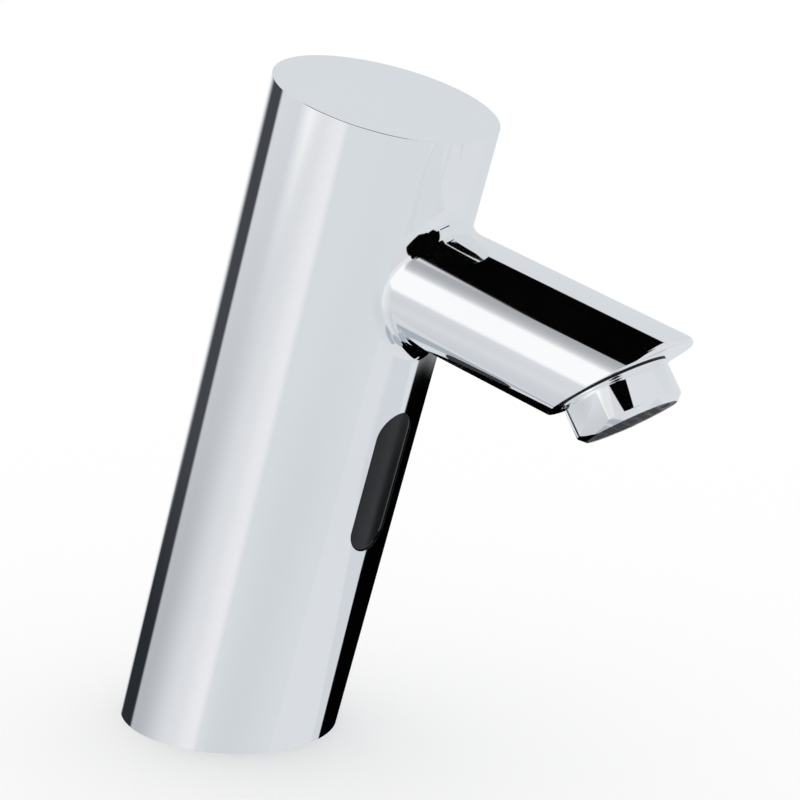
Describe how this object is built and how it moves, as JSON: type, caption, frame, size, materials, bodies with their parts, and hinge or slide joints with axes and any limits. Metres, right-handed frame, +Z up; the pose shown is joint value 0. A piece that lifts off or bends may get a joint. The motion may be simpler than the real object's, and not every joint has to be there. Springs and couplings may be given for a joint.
{
  "type": "sensor tap",
  "caption": "Chrome deck-mounted basin tap with a leaning round column, a short slanted spout with an aerator, and a black infrared sensor window on the front.",
  "frame": {"origin": "centre of the base on the deck plane", "axes": "+Z up, the spout points to -Y, +X is on the right of a user who faces the spout"},
  "size_m": [0.052, 0.149, 0.1629],
  "materials": {
    "chrome": "polished",
    "brass": "machined",
    "steel": "satin",
    "stainless": "satin",
    "spring_steel": "satin",
    "rubber": "matt",
    "strainer_plastic": "matt",
    "white_plastic": "matt",
    "valve_plastic": "matt",
    "black_plastic": "matt",
    "copper_winding": "satin",
    "cable_sheath": "satin",
    "tube_plastic": "gloss",
    "window_plastic": "polished",
    "board": "gloss",
    "lens_plastic": "gloss",
    "honeycomb_plastic": "matt"
  },
  "bodies": {
    "tap": {"tap_body": "chrome", "aerator_housing": "chrome", "base_plate": "brass", "base_plate_screws": "steel", "valve_screws": "steel", "bonnet_screws": "steel", "sensor_screws": "steel", "base_seal": "rubber", "cable_grommet": "rubber", "inlet_o_ring": "rubber", "check_valve_o_ring": "rubber", "water_tube_o_rings": "rubber", "window_gasket": "rubber", "aerator_washer": "rubber", "regulator_o_ring": "rubber", "inlet_filter": "strainer_plastic", "aerator_strainer": "strainer_plastic", "check_valve_body": "white_plastic", "aerator_insert": "white_plastic", "flow_regulator": "white_plastic", "valve_body": "valve_plastic", "valve_bonnet": "valve_plastic", "check_valve_spring": "spring_steel", "armature_spring": "spring_steel", "core_tube": "stainless", "pole_piece": "stainless", "coil_yoke": "stainless", "coil_nut": "steel", "coil_bobbin": "black_plastic", "sensor_housing": "black_plastic", "sensor_back_cover": "black_plastic", "coil_winding": "copper_winding", "coil_lead": "cable_sheath", "water_tube": "tube_plastic", "sensor_window": "window_plastic", "sensor_board": "board", "ir_emitter": "lens_plastic", "ir_receiver": "lens_plastic", "outlet_honeycomb": "honeycomb_plastic"},
    "armature": {"armature": "stainless", "armature_seal": "rubber"},
    "diaphragm": {"diaphragm_insert": "white_plastic", "valve_diaphragm": "rubber"},
    "check_valve_poppet": {"check_valve_poppet": "white_plastic"}
  },
  "joints": [
    {"name": "armature_slide", "type": "slide", "parent": "tap", "child": "armature", "axis": [0, 0, 1], "range_m": [0, 0.0015], "stiffness_N_per_m": 200, "springref_m": -0.002, "deforming": ["armature_spring"]},
    {"name": "diaphragm_lift", "type": "slide", "parent": "tap", "child": "diaphragm", "axis": [0, 0, 1], "range_m": [0, 0.0012], "deforming": ["valve_diaphragm"]},
    {"name": "check_valve_slide", "type": "slide", "parent": "tap", "child": "check_valve_poppet", "axis": [0, 0, 1], "range_m": [0, 0.002], "stiffness_N_per_m": 100, "springref_m": -0.002, "deforming": ["check_valve_spring"]}
  ],
  "couplings": [
    {"joint": "diaphragm_lift", "follows": "armature_slide", "ratio": 0.8}
  ]
}
